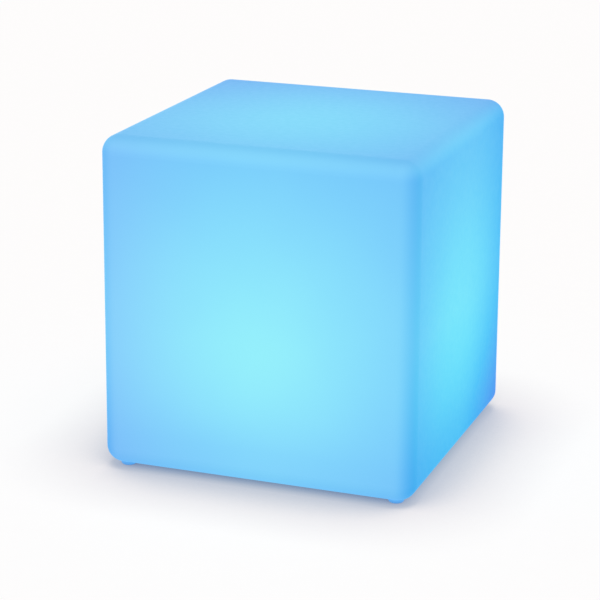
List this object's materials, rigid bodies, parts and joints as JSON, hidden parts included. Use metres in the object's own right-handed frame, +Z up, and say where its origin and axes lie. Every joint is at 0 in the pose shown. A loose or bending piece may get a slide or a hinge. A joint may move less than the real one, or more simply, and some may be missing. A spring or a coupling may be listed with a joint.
{
  "type": "led cube light",
  "caption": "Glowing rounded cube light on small corner feet, with a screw-in sealed light module in its base.",
  "frame": {"origin": "centre of the overall box, on the plane the feet stand on", "axes": "+Z up; -Y towards the front face, the larger one in the picture; +X to its right"},
  "size_m": [0.4012, 0.4012, 0.42],
  "materials": {
    "shell": "translucent rotationally moulded polyethylene, lit from inside",
    "foot": "translucent moulded polyethylene, lit through the base",
    "neck": "satin moulded plastic",
    "seal": "soft rubber",
    "screw": "plain steel",
    "housing": "fine spark-textured plastic",
    "lid": "satin white plastic",
    "diffuser": "milky plastic, lit from below",
    "light_board": "white solder mask",
    "led": "lit blue",
    "receiver": "dark clear epoxy",
    "lead": "plastic-covered wire",
    "battery_lead": "plastic-covered wire",
    "cell": "shrink-wrapped cell",
    "cradle": "plain moulded plastic",
    "tab": "nickel strip",
    "strap": "plain moulded plastic",
    "green_board": "green solder mask",
    "chip": "black epoxy",
    "choke": "dark ferrite",
    "can": "printed aluminium can",
    "plug": "natural nylon",
    "bezel": "satin grey plastic",
    "button": "smooth grey plastic",
    "spring": "spring wire",
    "switch": "black moulded plastic",
    "lens": "clear light guide",
    "socket": "black moulded plastic",
    "contact": "plated brass",
    "nut": "plated nut",
    "cover": "soft grey rubber"
  },
  "bodies": {
    "shell": {"shell": "shell", "foot_front_left": "foot", "foot_front_right": "foot", "foot_back_left": "foot", "foot_back_right": "foot", "neck_ring": "neck", "neck_gasket": "seal", "neck_screws": "screw"},
    "seal": {"seal_ring": "seal"},
    "module": {"module_housing": "housing", "lid_gasket": "seal", "module_lid": "lid", "lid_screws": "screw", "diffuser": "diffuser", "light_board": "light_board", "light_board_screws": "screw", "leds": "led", "remote_receiver": "receiver", "light_lead": "lead", "battery_cells": "cell", "battery_cradle": "cradle", "battery_tabs": "tab", "battery_strap": "strap", "battery_leads": "battery_lead", "socket_leads": "lead", "switch_leads": "lead", "control_board": "green_board", "control_screws": "screw", "driver_chip": "chip", "choke": "choke", "capacitor": "can", "lead_socket": "plug", "button_bezel": "bezel", "button_spring": "spring", "switch_board": "green_board", "press_switch": "switch", "switch_screws": "screw", "charge_lens": "lens", "charge_socket": "socket", "socket_pin": "contact", "socket_nut": "nut", "cover_pin": "screw"},
    "button": {"power_button": "button"},
    "cover": {"socket_cover": "cover"}
  },
  "joints": [
    {"name": "module_withdraw", "type": "slide", "parent": "shell", "child": "seal", "axis": [0, 0, -1], "range_m": [0, 0.012]},
    {"name": "module_turn", "type": "hinge", "parent": "seal", "child": "module", "pos_m": [0, 0, 0.014], "axis": [0, 0, -1], "range_deg": [0, 360]},
    {"name": "button_press", "type": "slide", "parent": "module", "child": "button", "axis": [0, 0, 1], "range_m": [0, 0.0018], "stiffness_N_per_m": 900, "springref_m": -0.0008, "deforming": ["button_spring"]},
    {"name": "cover_swing", "type": "hinge", "parent": "module", "child": "cover", "pos_m": [0, 0.0525, 0.0108], "axis": [1, 0, 0], "range_deg": [0, 100]}
  ],
  "couplings": [
    {"joint": "module_withdraw", "follows": "module_turn", "m_per_rad": 0.0019098}
  ]
}
